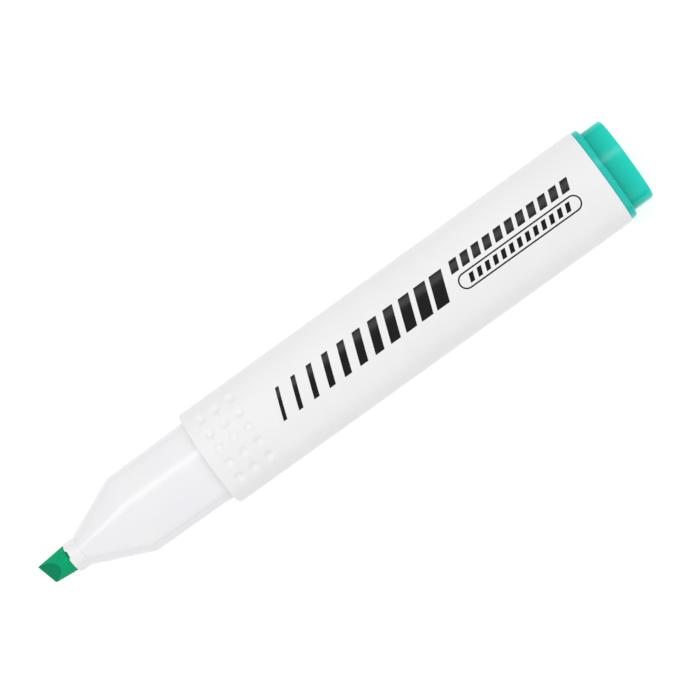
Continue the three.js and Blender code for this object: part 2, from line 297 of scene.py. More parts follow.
def finish_piece(obj, material, body, slot, *nodes):
    """Gives a finished piece its material and its body, and hides the nodes that it stands for. The slot
    is not used.
    """
    obj.data.materials.clear()
    obj.data.materials.append(material)
    if nodes:
        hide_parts(*nodes)
    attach(obj, body)


def cut_away(obj, cutter):
    """Cuts one object's shape out of another, and deletes the cutter."""
    modifier = obj.modifiers.new("cut", "BOOLEAN")
    modifier.operation = "DIFFERENCE"
    modifier.solver = "EXACT"
    modifier.object = cutter
    settle(obj)
    bpy.data.objects.remove(cutter)


# ---------------------------------------------------------------- node trees


def add(tree, kind, inputs=None, **settings):
    """Adds a node and fills its inputs with values, sockets, or other nodes' first outputs."""
    node = tree.nodes.new(kind)
    for key, value in settings.items():
        setattr(node, key, value)
    for key, value in (inputs or {}).items():
        if isinstance(value, bpy.types.Node):
            value = value.outputs[0]
        if isinstance(value, bpy.types.NodeSocket):
            tree.links.new(value, node.inputs[key])
        else:
            node.inputs[key].default_value = value
    return node


def geometry_tree(name, sizes, takes_mesh):
    """A new tree with named size inputs; returns a maker of nodes, the inputs and the tree's ending."""
    tree = bpy.data.node_groups.new(name, "GeometryNodeTree")
    make = partial(add, tree)
    if takes_mesh:
        tree.interface.new_socket("Mesh", in_out="INPUT", socket_type="NodeSocketGeometry")
    for label, default in sizes.items():
        kind = "NodeSocketInt" if isinstance(default, int) else "NodeSocketFloat"
        socket = tree.interface.new_socket(label, in_out="INPUT", socket_type=kind)
        socket.default_value = default
    tree.interface.new_socket("Material", in_out="INPUT", socket_type="NodeSocketMaterial")
    tree.interface.new_socket("Mesh", in_out="OUTPUT", socket_type="NodeSocketGeometry")
    size = make("NodeGroupInput").outputs

    def end(geometry):
        real = make("GeometryNodeRealizeInstances", {0: geometry})
        painted = make("GeometryNodeSetMaterial", {"Geometry": real, "Material": size["Material"]})
        make("NodeGroupOutput", {0: painted})
        return tree

    return make, size, end


def run_tree(obj, tree, sizes, material):
    """Runs a tree on an object with these sizes and keeps the result as its mesh."""
    modifier = obj.modifiers.new(tree.name, "NODES")
    modifier.node_group = tree
    values = {**sizes, "Material": material}
    for item in tree.interface.items_tree:
        if item.in_out == "INPUT" and item.name in values:
            modifier[item.identifier] = values[item.name]
    settle(obj)


def dimple_tree(sizes):
    """Sinks a grid of round, flat-bottomed dents into both faces of a shell, along the normals."""
    make, size, end = geometry_tree("Grip dimples", sizes, takes_mesh=True)
    position = make("GeometryNodeInputPosition")
    normal = make("GeometryNodeInputNormal")
    facing = make("ShaderNodeSeparateXYZ", {0: normal}).outputs[2]
    steepness = make("ShaderNodeMath", {0: facing}, operation="ABSOLUTE")
    steepness = make("ShaderNodeMath", {0: steepness, 1: 0.3}, operation="MAXIMUM")

    first = make("ShaderNodeCombineXYZ", {0: size["First X"]})
    pitch = make("ShaderNodeCombineXYZ", {0: size["Pitch along"], 1: size["Pitch across"], 2: 1.0})
    behind = make("ShaderNodeVectorMath", {0: first, 1: position}, operation="SUBTRACT")
    steps = make("ShaderNodeVectorMath", {0: behind, 1: pitch}, operation="DIVIDE")
    steps = make("ShaderNodeVectorMath", {0: steps, 1: (1.0, 1.0, 0.0)}, operation="MULTIPLY")

    last_column = make("ShaderNodeMath", {0: size["Columns"], 1: 1.0}, operation="SUBTRACT")
    rows = make("ShaderNodeMath", {0: size["Rows"], 1: 1.0}, operation="SUBTRACT")
    last_row = make("ShaderNodeMath", {0: rows, 1: 0.5}, operation="MULTIPLY")
    first_row = make("ShaderNodeMath", {0: rows, 1: -0.5}, operation="MULTIPLY")
    lowest = make("ShaderNodeCombineXYZ", {1: first_row})
    highest = make("ShaderNodeCombineXYZ", {0: last_column, 1: last_row})

    nearest = make("ShaderNodeVectorMath", {0: steps, 1: (0.5, 0.5, 0.0)}, operation="ADD")
    nearest = make("ShaderNodeVectorMath", {0: nearest}, operation="FLOOR")
    nearest = make("ShaderNodeVectorMath", {0: nearest, 1: lowest}, operation="MAXIMUM")
    nearest = make("ShaderNodeVectorMath", {0: nearest, 1: highest}, operation="MINIMUM")
    gap = make("ShaderNodeVectorMath", {0: steps, 1: nearest}, operation="SUBTRACT")
    gap = make("ShaderNodeVectorMath", {0: gap, 1: pitch}, operation="MULTIPLY")
    along_face = make("ShaderNodeCombineXYZ", {0: 1.0, 1: steepness, 2: 1.0})
    gap = make("ShaderNodeVectorMath", {0: gap, 1: along_face}, operation="DIVIDE")
    distance = make("ShaderNodeVectorMath", {0: gap}, operation="LENGTH").outputs["Value"]

    radius = make("ShaderNodeMath", {0: size["Diameter"], 1: 0.5}, operation="MULTIPLY")
    floor = make("ShaderNodeMath", {0: radius, 1: size["Flat share"]}, operation="MULTIPLY")
    sunk = make("ShaderNodeMath", {0: size["Depth"], 1: -1.0}, operation="MULTIPLY")
    bowl = make(
        "ShaderNodeMapRange",
        {"Value": distance, "From Min": floor, "From Max": radius, "To Min": sunk, "To Max": 0.0},
        interpolation_type="SMOOTHSTEP",
    )
    height = make("ShaderNodeSeparateXYZ", {0: position}).outputs[2]
    height = make("ShaderNodeMath", {0: height, 1: size["Axis height"]}, operation="SUBTRACT")
    outside = make("ShaderNodeMath", {0: height, 1: facing}, operation="MULTIPLY")
    outside = make("ShaderNodeMath", {0: outside, 1: 0.0}, operation="GREATER_THAN")
    amount = make("ShaderNodeMath", {0: bowl, 1: outside}, operation="MULTIPLY")
    push = make("ShaderNodeVectorMath", {0: normal, "Scale": amount}, operation="SCALE")
    return end(make("GeometryNodeSetPosition", {"Geometry": size["Mesh"], "Offset": push}))


def rib_tree(sizes):
    """Four ribs that stand out from the pen's axis, two to the sides and two to the faces."""
    make, size, end = geometry_tree("Ribs", sizes, takes_mesh=False)
    index = make("GeometryNodeInputIndex")
    quarters = make("ShaderNodeMath", {0: index, 1: math.pi / 2}, operation="MULTIPLY")
    turn = make("ShaderNodeCombineXYZ", {0: quarters})
    upright = make("ShaderNodeMath", {0: index, 1: 2.0}, operation="MODULO")
    reach = make(
        "ShaderNodeMapRange",
        {"Value": upright, "To Min": size["Side reach"], "To Max": size["Face reach"]},
    )
    ends = make("ShaderNodeMath", {0: size["Start X"], 1: size["End X"]}, operation="ADD")
    middle = make("ShaderNodeMath", {0: ends, 1: 0.5}, operation="MULTIPLY")
    axis = make("ShaderNodeCombineXYZ", {0: middle, 2: size["Axis height"]})
    root = make("ShaderNodeCombineXYZ", {1: size["Inner radius"]})
    root = make("ShaderNodeVectorRotate", {"Vector": root, "Rotation": turn}, rotation_type="EULER_XYZ")
    place = make("ShaderNodeVectorMath", {0: axis, 1: root}, operation="ADD")
    points = make("GeometryNodePoints", {"Count": 4, "Position": place})

    long = make("ShaderNodeMath", {0: size["End X"], 1: size["Start X"]}, operation="SUBTRACT")
    deep = make("ShaderNodeMath", {0: reach, 1: size["Inner radius"]}, operation="SUBTRACT")
    scale = make("ShaderNodeCombineXYZ", {0: long, 1: deep, 2: size["Thickness"]})
    block = make("GeometryNodeMeshCube", {"Size": (1.0, 1.0, 1.0)})
    rib = make("GeometryNodeTransform", {"Geometry": block, "Translation": (0.0, 0.5, 0.0)})
    ribs = make(
        "GeometryNodeInstanceOnPoints",
        {"Points": points, "Instance": rib, "Rotation": turn, "Scale": scale},
    )
    return end(ribs)


def bar_tree(sizes):
    """A row of slanted printed bars that lie on the barrel's crown and grow from first to last."""
    make, size, end = geometry_tree("Printed bars", sizes, takes_mesh=False)
    index = make("GeometryNodeInputIndex")
    last = make("ShaderNodeMath", {0: size["Count"], 1: 1.0}, operation="SUBTRACT")
    progress = make("ShaderNodeMath", {0: index, 1: last}, operation="DIVIDE")
    width = make(
        "ShaderNodeMapRange",
        {"Value": progress, "To Min": size["First width"], "To Max": size["Last width"]},
    )
    step = make("ShaderNodeMath", {0: index, 1: 0.5}, operation="ADD")
    step = make("ShaderNodeMath", {0: step, 1: size["Pitch"]}, operation="MULTIPLY")
    x = make("ShaderNodeMath", {0: size["Start X"], 1: step}, operation="SUBTRACT")
    place = make("ShaderNodeCombineXYZ", {0: x, 1: size["Middle Y"]})
    points = make("GeometryNodePoints", {"Count": size["Count"], "Position": place})
    scale = make("ShaderNodeCombineXYZ", {0: width, 1: size["Height"], 2: size["Ink thickness"]})
    bar = make(
        "GeometryNodeMeshCube",
        {"Size": (1.0, 1.0, 1.0), "Vertices X": 3, "Vertices Y": 25, "Vertices Z": 2},
    )
    bars = make("GeometryNodeInstanceOnPoints", {"Points": points, "Instance": bar, "Scale": scale})
    real = make("GeometryNodeRealizeInstances", {0: bars})

    x, y, z = make("ShaderNodeSeparateXYZ", {0: make("GeometryNodeInputPosition")}).outputs
    radius = size["Crown radius"]
    offset = make("ShaderNodeMath", {0: y, 1: size["Middle Y"]}, operation="SUBTRACT")
    lean = make("ShaderNodeMath", {0: offset, 1: size["Slant"]}, operation="MULTIPLY")
    leaning = make("ShaderNodeMath", {0: x, 1: lean}, operation="ADD")
    sine = make("ShaderNodeMath", {0: y, 1: radius}, operation="DIVIDE")
    bend = make("ShaderNodeMath", {0: sine}, operation="ARCSINE")
    cosine = make("ShaderNodeMath", {0: bend}, operation="COSINE")
    crown = make("ShaderNodeMath", {0: cosine, 1: radius}, operation="MULTIPLY")
    crown = make("ShaderNodeMath", {0: crown, 1: size["Crown centre"]}, operation="ADD")
    top = make("ShaderNodeMath", {0: crown, 1: z}, operation="ADD")
    bent = make("ShaderNodeCombineXYZ", {0: leaning, 1: y, 2: top})
    return end(make("GeometryNodeSetPosition", {"Geometry": real, "Position": bent}))


# ---------------------------------------------------------------- materials


# The colour sockets of a Mix node, which share their names with its other kinds of socket.
MIX_FIRST, MIX_SECOND, MIX_RESULT = 6, 7, 2


def linear(code):
    """A colour written as #rrggbb in sRGB, as linear values."""
    channels = [int(code[i : i + 2], 16) / 255 for i in (1, 3, 5)]
    return tuple(c / 12.92 if c <= 0.04045 else ((c + 0.055) / 1.055) ** 2.4 for c in channels)


class Pattern(NamedTuple):
    """A noise: its grain's size in metres, and how much longer the grain is along the pen."""

    grain: float
    stretch: float = 1.0
    detail: float = 3.0

    def drawn(self, tree):
        coordinates = add(tree, "ShaderNodeTexCoord").outputs["Object"]
        scale = (1 / self.stretch, 1.0, 1.0)
        place = add(tree, "ShaderNodeMapping", {"Vector": coordinates, "Scale": scale})
        inputs = {"Vector": place, "Scale": 1 / self.grain, "Detail": self.detail}
        return add(tree, "ShaderNodeTexNoise", inputs)


class Surface(NamedTuple):
    """How a material's surface varies: its two colours, its two roughnesses and its relief."""

    colours: tuple
    cover: Pattern
    roughness: tuple
    sheen_spots: Pattern
    relief: Pattern
    relief_depth: float
    relief_strength: float


def varied(name, surface, **sockets):
    """A principled material: uniform values on its own sockets, the rest from its surface.

    Returns the material and the node that mixes its two colours.
    """
    material = bpy.data.materials.new(name)
    material.use_nodes = True
    tree = material.node_tree
    shader = tree.nodes["Principled BSDF"]
    for key, value in sockets.items():
        shader.inputs[key.replace("_", " ")].default_value = value
    cover = surface.cover.drawn(tree)
    first, second = surface.colours
    amount = add(tree, "ShaderNodeMapRange", {"Value": cover, "From Min": 0.35, "From Max": 0.65})
    colours = {"Factor": amount, MIX_FIRST: (*first, 1.0), MIX_SECOND: (*second, 1.0)}
    mixed = add(tree, "ShaderNodeMix", colours, data_type="RGBA")
    tree.links.new(mixed.outputs[MIX_RESULT], shader.inputs["Base Color"])
    low, high = surface.roughness
    spots = surface.sheen_spots.drawn(tree)
    sheen = {"Value": spots, "From Min": 0.3, "From Max": 0.7, "To Min": low, "To Max": high}
    tree.links.new(add(tree, "ShaderNodeMapRange", sheen).outputs[0], shader.inputs["Roughness"])
    relief = {
        "Height": surface.relief.drawn(tree),
        "Strength": surface.relief_strength,
        "Distance": surface.relief_depth,
    }
    tree.links.new(add(tree, "ShaderNodeBump", relief).outputs[0], shader.inputs["Normal"])
    return material, mixed


def barrel_plastic(finishes):
    """Polypropylene, injection moulded in a finely spark-eroded mould: an even satin white.

    The mould's texture, near 0.03 mm, is drawn at 0.12 mm, the finest that shows.
    """
    material, _ = varied(
        "Satin white polypropylene",
        Surface(
            colours=(finishes.barrel, finishes.barrel_shade),
            cover=Pattern(9 * MM),
            roughness=(0.42, 0.5),
            sheen_spots=Pattern(0.12 * MM, detail=2.0),
            relief=Pattern(0.12 * MM, detail=2.0),
            relief_depth=0.02 * MM,
            relief_strength=0.1,
        ),
        IOR=1.49,
        Specular_IOR_Level=0.4,
    )
    return material


def front_plastic(finishes):
    """Polypropylene, injection moulded in a polished mould: a glossy white with slight sink."""
    material, _ = varied(
        "Glossy white polypropylene",
        Surface(
            colours=(finishes.front, finishes.front_shade),
            cover=Pattern(7 * MM),
            roughness=(0.12, 0.18),
            sheen_spots=Pattern(1.2 * MM),
            relief=Pattern(5 * MM, stretch=3.0, detail=1.0),
            relief_depth=0.05 * MM,
            relief_strength=0.12,
        ),
        IOR=1.49,
        Specular_IOR_Level=0.4,
    )
    return material


def plug_plastic(finishes, block):
    """Polypropylene, coloured through and injection moulded: a glossy teal that lets in some light.

    Its base colour is painted with that light: paler at the thin flange and along the block towards its
    end, with painted shade at the block's root.
    """
    material, mixed = varied(
        "Glossy teal polypropylene",
        Surface(
            colours=(finishes.plug, finishes.plug_end_painted_light),
            cover=Pattern(4 * MM),
            roughness=(0.13, 0.18),
            sheen_spots=Pattern(1.5 * MM),
            relief=Pattern(0.2 * MM, detail=2.0),
            relief_depth=0.01 * MM,
            relief_strength=0.06,
        ),
        IOR=1.49,
        Specular_IOR_Level=0.27,
        Subsurface_Weight=0.25,
        Subsurface_Radius=(0.3, 1.0, 0.9),
        Subsurface_Scale=1.0 * MM,
    )
    tree = material.node_tree
    # Painted shade and light: the base colour runs along the pen from darker at the block's root to paler
    # at its end.
    coordinates = add(tree, "ShaderNodeTexCoord").outputs["Object"]
    along = add(tree, "ShaderNodeSeparateXYZ", {0: coordinates})
    root = PLUG.low.x + block
    root_shade_to_end_light = {"Value": along, "From Min": root, "From Max": PLUG.low.x}
    tree.links.new(add(tree, "ShaderNodeMapRange", root_shade_to_end_light).outputs[0], mixed.inputs["Factor"])
    # Painted light: the flange, and all of the plug in front of it, take a paler teal.
    painted_light_flange_span = {"Value": along, "From Min": root - 0.05 * MM, "From Max": root + 0.05 * MM}
    colours = {
        "Factor": add(tree, "ShaderNodeMapRange", painted_light_flange_span),
        MIX_FIRST: mixed.outputs[MIX_RESULT],
        MIX_SECOND: (*finishes.flange, 1.0),
    }
    flange = add(tree, "ShaderNodeMix", colours, data_type="RGBA")
    base = tree.nodes["Principled BSDF"].inputs["Base Color"]
    tree.links.new(flange.outputs[MIX_RESULT], base)
    return material


def nib_felt(finishes):
    """Bonded polyester fibre felt, soaked in ink and ground to a chisel: dull, grained lengthwise.

    The ground faces are painted darker, as painted shade for chisel faces that tilt away from the light
    above.
    """
    material, mixed = varied(
        "Ink-soaked fibre felt",
        Surface(
            colours=(finishes.nib_shade, finishes.nib),
            cover=Pattern(0.12 * MM, stretch=6.0, detail=4.0),
            roughness=(0.6, 0.8),
            sheen_spots=Pattern(0.28 * MM, stretch=2.0),
            relief=Pattern(0.14 * MM, stretch=4.0, detail=4.0),
            relief_depth=0.05 * MM,
            relief_strength=0.4,
        ),
        IOR=1.4,
        Specular_IOR_Level=0.15,
    )
    tree = material.node_tree
    # Painted shade: faces that turn forward, the ground chisel faces, take the darker green.
    facing = add(tree, "ShaderNodeNewGeometry").outputs["Normal"]
    forward = add(tree, "ShaderNodeSeparateXYZ", {0: facing})
    ground = add(tree, "ShaderNodeMapRange", {"Value": forward, "From Min": 0.25, "From Max": 0.48})
    colours = {
        "Factor": ground,
        MIX_FIRST: mixed.outputs[MIX_RESULT],
        MIX_SECOND: (*finishes.nib_ground_painted_shade, 1.0),
    }
    cut = add(tree, "ShaderNodeMix", colours, data_type="RGBA")
    base = tree.nodes["Principled BSDF"].inputs["Base Color"]
    tree.links.new(cut.outputs[MIX_RESULT], base)
    return material


def reservoir_fibre(finishes):
    """Bundled polyester fibre, soaked in ink: soft, with long strands."""
    material, _ = varied(
        "Ink-soaked wadding",
        Surface(
            colours=(finishes.fibre_shade, finishes.fibre),
            cover=Pattern(0.15 * MM, stretch=20.0, detail=4.0),
            roughness=(0.75, 0.95),
            sheen_spots=Pattern(0.3 * MM, stretch=10.0),
            relief=Pattern(0.15 * MM, stretch=20.0, detail=4.0),
            relief_depth=0.12 * MM,
            relief_strength=0.8,
        ),
        IOR=1.4,
        Sheen_Weight=0.3,
    )
    return material


def reservoir_film(finishes):
    """Polypropylene film, extruded thin and clear, with fine draw lines."""
    material, _ = varied(
        "Clear film",
        Surface(
            colours=(finishes.film, finishes.film_shade),
            cover=Pattern(0.3 * MM, stretch=30.0, detail=2.0),
            roughness=(0.1, 0.22),
            sheen_spots=Pattern(0.6 * MM, stretch=20.0),
            relief=Pattern(0.3 * MM, stretch=30.0, detail=2.0),
            relief_depth=0.02 * MM,
            relief_strength=0.2,
        ),
        IOR=1.49,
        Alpha=0.45,
    )
    return material


def print_ink(finishes):
    """Pad-printed ink: a thin black film with a soft gloss and a faintly uneven surface."""
    material, _ = varied(
        "Black pad-print ink",
        Surface(
            colours=(finishes.ink, finishes.ink_shade),
            cover=Pattern(0.5 * MM),
            roughness=(0.13, 0.19),
            sheen_spots=Pattern(0.5 * MM),
            relief=Pattern(0.15 * MM, detail=2.0),
            relief_depth=0.01 * MM,
            relief_strength=0.1,
        ),
        IOR=1.5,
        Specular_IOR_Level=0.2,
    )
    return material


# ---------------------------------------------------------------- sizes and colours


def length(name, description, millimetres):
    return bpy.props.FloatProperty(
        name=name, description=description, default=millimetres * MM, min=0.0, unit="LENGTH", precision=6
    )


def angle(name, description, degrees):
    return bpy.props.FloatProperty(
        name=name, description=description, default=math.radians(degrees), unit="ROTATION"
    )


def number(name, description, default):
    return bpy.props.IntProperty(name=name, description=description, default=default, min=1)


def colour(name, description, code):
    return bpy.props.FloatVectorProperty(
        name=name, description=description, default=linear(code), size=3, min=0.0, max=1.0, subtype="COLOR"
    )


def share(name, description, default):
    return bpy.props.FloatProperty(
        name=name, description=description, default=default, min=0.0, max=1.0, subtype="FACTOR"
    )


def power(name, description, default):
    return bpy.props.FloatProperty(name=name, description=description, default=default, min=0.0)


class BarrelSizes(bpy.types.PropertyGroup):
    """The barrel's sizes beside its box, and its grip dimples."""

    corner: length("Corner radius", "Radius of the rounded sides", 4.4)
    wall: length("Wall", "Thickness of the shell", 1.2)
    edge: length("Edge fillet", "Rounding of the two outer end edges", 0.15)
    mouth: length("Mouth fillet", "Rounding of the two inner end edges", 0.15)
    snap_back: length("Snap groove place", "From the front edge to the middle of the groove", 6)
    snap_length: length("Snap groove length", "Length of the groove along the barrel", 1.2)
    snap_depth: length("Snap groove depth", "Depth of the groove in the wall", 0.25)
    dimple_first: length("First dimple", "From the front edge to the first column's centres", 3.05)
    dimple_along: length("Dimple pitch along", "Between dimple centres along the barrel", 3.05)
    dimple_across: length("Dimple pitch across", "Between dimple centres across the barrel", 2.88)
    dimple_diameter: length("Dimple diameter", "Width of one dimple", 2.15)
    dimple_depth: length("Dimple depth", "Depth of one dimple at its middle", 0.32)
    dimple_flat: share("Dimple floor", "Flat part of a dimple's width", 0.15)
    dimple_columns: number("Dimple columns", "Columns of dimples along the barrel", 3)
    dimple_rows: number("Dimple rows", "Rows of dimples across the barrel, an odd number", 5)
    rib_thickness: length("Rib thickness", "Thickness of the ribs that hold the reservoir", 1)
    rib_clearance: length("Rib clearance", "Between the ribs and the reservoir's wrap", 0.1)
    rib_fusion: length("Rib fusion", "How far a rib runs into the wall", 0.3)
    rib_end: length("Rib end clearance", "Between a rib's end and the piece that it faces", 1)


class FrontSizes(bpy.types.PropertyGroup):
    """The front section's sizes beside its box."""

    clearance: length("Sleeve clearance", "Between the sleeve and the barrel's bore", 0.1)
    wall: length("Wall", "Thickness of the neck's shell", 1.1)
    lead: length("Sleeve lead", "How much the sleeve narrows to its end", 0.2)
    snap_height: length("Snap bead height", "Height of the bead around the sleeve", 0.25)
    seat_length: length("Seat length", "Raised stretch of the neck before the barrel", 1.2)
    seat_height: length("Seat height", "Height of the raised stretch", 0.08)
    seat_ramp: length("Seat ramp", "Length of the step down from the seat", 1.1)
    draft: length("Draft", "How much the neck narrows towards the taper", 0.12)
    neck: length("Neck length", "From the barrel's front edge to the taper", 16.4)
    collar: length("Collar length", "Round collar in front of the taper", 2.6)
    taper_end: length("Taper end diameter", "Diameter of the taper at the collar", 6.2)
    collar_diameter: length("Collar diameter", "Outer diameter of the collar", 5.64)
    collar_wall: length("Collar wall", "Wall of the collar around the nib", 0.52)
    bore: length("Bore length", "Length of the round bore that holds the nib", 9)
    cone: length("Chamber cone", "Length of the funnel behind the bore", 5.2)
    vent_width: length("Vent width", "Width of a vent notch at its floor", 1)
    vent_depth: length("Vent depth", "Depth of a vent notch in the collar's mouth", 0.4)
    vent_flare: length("Vent flare", "How much a vent notch widens on each side", 0.4)
    vent_offset: length("Vent offset", "From the middle of the face to the vent's middle", 0.6)


class NibSizes(bpy.types.PropertyGroup):
    """The nib's sizes beside its box."""

    head: length("Head diameter", "Diameter of the head at the collar", 4.9)
    offset: length("Head offset", "How far the head is off the stem's axis", 0.2)
    side_angle: angle("Side angle", "How much each side of the head leans inwards", 5)
    slant: angle("Slant", "Angle of the writing edge from square", 16.6)
    bevel: angle("Bevel", "Angle of each chisel face from the axis", 31.5)
    edge: length("Edge thickness", "Thickness of the writing edge", 1)
    stem_clearance: length("Stem clearance", "Between the stem and the collar's bore", 0.1)
    shoulder: length("Shoulder", "Length of the cone from the stem to the tail", 1)
    tail: length("Tail diameter", "Diameter of the thin tail in the reservoir", 3.2)
    point: length("Tail point", "Length of the tail's point", 1.5)
    point_diameter: length("Tail point diameter", "Diameter of the tail's very end", 1.4)
    grain: length("Grain", "Size of the felt's finest rounding", 0.085)


class ReservoirSizes(bpy.types.PropertyGroup):
    """The ink reservoir's sizes beside its boxes."""

    wrap_wall: length("Wrap wall", "Thickness of the film", 0.2)
    pocket: length("Pocket diameter", "Hole in the core for the nib's tail", 3.4)
    pocket_floor: length("Pocket floor diameter", "Diameter at the bottom of the hole", 1.6)
    edge: length("Edge fillet", "Rounding of the core's ends", 0.4)


class PlugSizes(bpy.types.PropertyGroup):
    """The end plug's sizes beside its box."""

    block: length("Block length", "Length of the block behind the flange", 4)
    block_inset: length("Block inset", "Step from the barrel's outline to the block", 1.22)
    block_edge: length("Block edge", "Rounding of the block's end", 0.55)
    flange_inset: length("Flange inset", "Step from the barrel's outline to the flange", 0.25)
    flange_edge: length("Flange edge", "Rounding of the flange's outer edge", 0.55)
    root: length("Root fillet", "Rounding between the block and the flange", 0.15)
    face: length("Face clearance", "Between the flange and the barrel's end", 0.05)
    wall: length("Spigot wall", "Wall of the spigot", 1.2)
    lead: length("Spigot lead", "Length of the spigot's narrowed end", 0.6)
    floor: length("Block floor", "Thickness of the block's closed end", 1.4)
    rib_thickness: length("Cross rib thickness", "Thickness of the ribs in the spigot", 1.2)
    rib_fusion: length("Cross rib fusion", "How far a rib runs into the wall", 0.3)


class PrintSizes(bpy.types.PropertyGroup):
    """A generic printed pattern: slanted bars, a row of dashes, and a capsule round finer dashes."""

    start: length("Start", "From the barrel's front edge to the print", 14.2)
    bars_length: length("Bars length", "Length of the row of slanted bars", 35.5)
    bars_count: number("Bars", "Slanted bars in the row", 11)
    bars_height: length("Bars height", "Height of the bars across the barrel", 5.4)
    bars_first: length("First bar", "Width of the first bar", 0.7)
    bars_last: length("Last bar", "Width of the last bar", 2.5)
    slant: angle("Slant", "Lean of the bars and dashes", 20)
    small_start: length("Dashes start", "From the barrel's front edge to the dashes", 51.2)
    small_length: length("Dashes length", "Length of the row of dashes", 24.6)
    dashes_count: number("Dashes", "Dashes in the row", 11)
    dashes_height: length("Dashes height", "Height of the dashes", 2.15)
    dash: length("Dash", "Width of one dash", 1.5)
    dashes_side: length("Dashes place", "From the middle of the face to the dashes' middle", 1.8)
    capsule_length: length("Capsule length", "Length of the capsule", 24.4)
    capsule_height: length("Capsule height", "Height of the capsule", 2.9)
    capsule_side: length("Capsule place", "From the middle of the face to the capsule's middle", 1.45)
    capsule_line: length("Capsule line", "Width of the capsule's outline", 0.26)
    fine_count: number("Fine dashes", "Dashes in the capsule", 13)
    fine_height: length("Fine dashes height", "Height of the dashes in the capsule", 1.5)
    fine_dash: length("Fine dash", "Width of one dash in the capsule", 0.85)
    fine_inset: length("Fine dashes inset", "From the capsule's end to its first dash", 1.7)
    thickness: length("Ink thickness", "Thickness of the printed film", 0.02)


class Finishes(bpy.types.PropertyGroup):
    """The colours of every piece."""

    barrel: colour("Barrel", "Satin white plastic", "#f1f1f2")
    barrel_shade: colour("Barrel shade", "Its slight darker variation", "#efeff0")
    front: colour("Front section", "Glossy white plastic", "#f1f1f2")
    front_shade: colour("Front section shade", "Its slight darker variation", "#f0eff3")
    # The end plug's three teals are one plastic under painted light: paler at the flange and at the
    # block's end, darker with painted shade at the block's root.
    flange: colour("Flange", "Teal plastic at the thin flange", "#1cc7b9")
    plug: colour("End plug", "Teal plastic at the block's root", "#05b3a0")
    plug_end_painted_light: colour("End plug's end", "Teal plastic where the light comes through", "#16dac6")
    nib: colour("Nib", "Felt soaked in ink", "#04ad75")
    nib_shade: colour("Nib shade", "Felt between its fibres", "#049b67")
    # Painted shade: the ground chisel faces take this darker green.
    nib_ground_painted_shade: colour("Nib's ground faces", "Felt with its fibres end on", "#04885f")
    fibre: colour("Reservoir", "Wadding soaked in ink", "#35c79a")
    fibre_shade: colour("Reservoir shade", "Wadding between its strands", "#1f9a74")
    film: colour("Film", "Clear wrap", "#e6f2ee")
    film_shade: colour("Film shade", "Clear wrap in its draw lines", "#d8e8e2")
    ink: colour("Print", "Black ink", "#0b0b0c")
    ink_shade: colour("Print shade", "Black ink where it is thinner", "#121214")


class StageSizes(bpy.types.PropertyGroup):
    """The camera, the lights and the floor."""

    lens: bpy.props.FloatProperty(
        name="Lens", description="Focal length", default=106.36, subtype="DISTANCE_CAMERA"
    )
    height: length("Camera height", "Camera above the pen's axis", 346)
    aim_x: length("Aim back", "How far behind the middle the camera aims", 4.39)
    aim_y: length("Aim across", "How far towards -Y the camera aims", 1.07)
    back: length("Camera back", "Camera behind its aim, towards the tail", 22.5)
    aside: length("Camera aside", "Camera beside its aim, towards +Y", 31.9)
    turn: angle("View turn", "Angle of the pen's axis in the camera's view", 35.51)
    near_side: power("Near side", "Brightness of the tent's wall on the strip light's side", 0.77)
    far_side: power("Far side", "Brightness of the tent's wall on the other side", 1.27)
    near_foot: power("Near foot", "Brightness of that first wall at the horizon", 0.3)
    far_foot: power("Far foot", "Brightness of that other wall at the horizon", 0.0)
    overhead: power("Overhead", "Brightness of the tent's top, above the pen", 0.8)
    strip: power("Strip light", "Radiance of the long narrow light", 3.4)
    floor: power("Floor glow", "How much the floor is lit from below", 0.56)


# ---------------------------------------------------------------- pieces


def barrel_section(sizes):
    return Section(BARREL.width / 2, BARREL.thickness / 2, sizes.corner)


def bare_section(scene):
    """The barrel's outline under its print, whose film fills the last of the barrel's thickness."""
    section = barrel_section(scene.highlighter_barrel)
    return section._replace(half_height=section.half_height - scene.highlighter_print.thickness)


def sleeve_section(scene):
    barrel = scene.highlighter_barrel
    return barrel_section(barrel).inset(barrel.wall + scene.highlighter_front.clearance)


def snap_corners(middle, section, length, height, fillet):
    """A low ring out from a section: a bead on an outside, or a groove from an inside."""
    raised = section.inset(-height)
    return [
        Corner(middle - length / 2, section, fillet),
        Corner(middle - length / 4, raised, fillet),
        Corner(middle + length / 4, raised, fillet),
        Corner(middle + length / 2, section, fillet),
    ]


class HIGHLIGHTER_OT_barrel(bpy.types.Operator):
    """Build the barrel: a satin shell with rounded ends and grip dimples on both faces"""

    bl_idname = "highlighter.barrel"
    bl_label = "Barrel"

    def execute(self, context):
        sizes = context.scene.highlighter_barrel
        outer = bare_section(context.scene)
        bore = barrel_section(sizes).inset(sizes.wall)
        front, tail = BARREL.high.x, BARREL.low.x
        groove = snap_corners(
            front - sizes.snap_back, bore, sizes.snap_length, sizes.snap_depth, 0.1 * MM
        )
        corners = filleted(
            [
                Corner(tail, outer, sizes.edge),
                Corner(front, outer, sizes.edge),
                Corner(front, bore, sizes.mouth),
                *reversed(groove),
                Corner(tail, bore, sizes.mouth),
            ],
            closed=True,
        )
        grip = sizes.dimple_first + (sizes.dimple_columns - 0.5) * sizes.dimple_along
        corners = densely(corners, front - grip - 1 * MM, front - 1 * MM, 0.16 * MM)
        barrel = loft("barrel_shell", corners, FINE, closed=True)
        material = barrel_plastic(context.scene.highlighter_finishes)
        grid = {
            "First X": front - sizes.dimple_first,
            "Pitch along": sizes.dimple_along,
            "Pitch across": sizes.dimple_across,
            "Diameter": sizes.dimple_diameter,
            "Depth": sizes.dimple_depth,
            "Flat share": sizes.dimple_flat,
            "Axis height": AXIS_Z,
            "Columns": sizes.dimple_columns,
            "Rows": sizes.dimple_rows,
        }
        run_tree(barrel, dimple_tree(grid), grid, material)
        smooth(barrel)
        finish_piece(barrel, material, "barrel", "barrel_plastic", "barrel")
        return {"FINISHED"}


